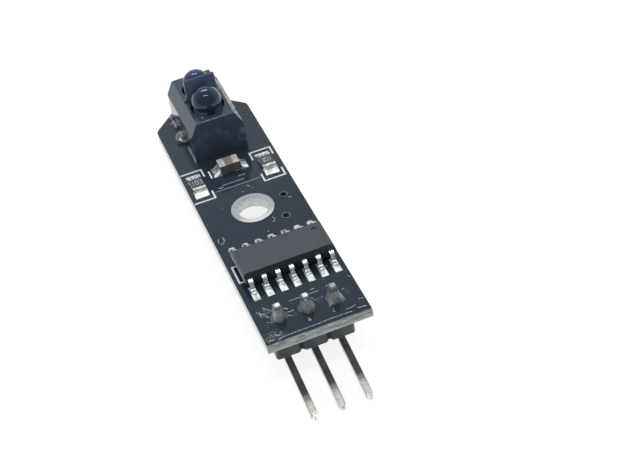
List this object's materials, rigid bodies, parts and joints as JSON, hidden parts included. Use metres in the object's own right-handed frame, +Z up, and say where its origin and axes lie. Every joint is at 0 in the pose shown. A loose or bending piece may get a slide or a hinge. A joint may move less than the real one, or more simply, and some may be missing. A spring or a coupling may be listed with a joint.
{
  "type": "infrared line tracking sensor",
  "caption": "Small black circuit board with a reflective infrared sensor in a moulded housing, a comparator chip, chip components, a screw hole and a bent pin header.",
  "frame": {"origin": "centre of the mounting hole at the board's underside", "axes": "+X across the board to the right, +Y along the board from the header to the optical sensor, +Z up out of the component face"},
  "size_m": [0.0096, 0.0394, 0.0131],
  "materials": {
    "board": "black solder mask on glass-epoxy laminate",
    "tin": "tinned copper",
    "masked_copper": "copper under solder mask",
    "sensor_plastic": "moulded black plastic",
    "emitter_epoxy": "violet infrared-clear epoxy",
    "receiver_epoxy": "black infrared-pass epoxy",
    "solder": "solder, shiny",
    "bright_solder": "solder on tinned pads, bright",
    "dull_solder": "solder under flux, dull grey",
    "lead_metal": "tinned lead frame",
    "chip_plastic": "matt moulding compound",
    "resistor_ceramic": "dark glaze on ceramic",
    "capacitor_ceramic": "tan ceramic",
    "end_cap": "tinned end cap",
    "header_plastic": "glass-filled nylon",
    "pin_metal": "tinned square pin"
  },
  "bodies": {
    "root": {"board": "board", "mounting_hole_rings": "tin", "via_upper": "masked_copper", "via_lower": "masked_copper", "header_hole_plating": "dull_solder", "sensor_hole_plating": "tin", "sensor_housing": "sensor_plastic", "infrared_emitter": "emitter_epoxy", "phototransistor": "receiver_epoxy", "emitter_lead_left": "lead_metal", "emitter_lead_right": "lead_metal", "receiver_lead_left": "lead_metal", "receiver_lead_right": "lead_metal", "emitter_joint_left": "solder", "emitter_joint_right": "solder", "receiver_joint_left": "solder", "receiver_joint_right": "solder", "side_joint_near": "solder", "side_joint_far": "solder", "chip_body": "chip_plastic", "chip_lead_01": "lead_metal", "chip_lead_02": "lead_metal", "chip_lead_03": "lead_metal", "chip_lead_04": "lead_metal", "chip_lead_05": "lead_metal", "chip_lead_06": "lead_metal", "chip_lead_07": "lead_metal", "chip_lead_08": "lead_metal", "chip_lead_09": "lead_metal", "chip_lead_10": "lead_metal", "chip_lead_11": "lead_metal", "chip_lead_12": "lead_metal", "chip_lead_13": "lead_metal", "chip_lead_14": "lead_metal", "chip_solder_near": "bright_solder", "chip_solder_far": "dull_solder", "resistor_left_body": "resistor_ceramic", "resistor_left_near_cap": "end_cap", "resistor_left_far_cap": "end_cap", "resistor_left_solder": "bright_solder", "resistor_right_body": "resistor_ceramic", "resistor_right_near_cap": "end_cap", "resistor_right_far_cap": "end_cap", "resistor_right_solder": "bright_solder", "capacitor_body": "capacitor_ceramic", "capacitor_left_cap": "end_cap", "capacitor_right_cap": "end_cap", "capacitor_solder": "bright_solder", "header_strip": "header_plastic", "header_pin_1": "pin_metal", "header_pin_2": "pin_metal", "header_pin_3": "pin_metal", "header_joint_1": "dull_solder", "header_joint_2": "dull_solder", "header_joint_3": "dull_solder"}
  },
  "joints": []
}
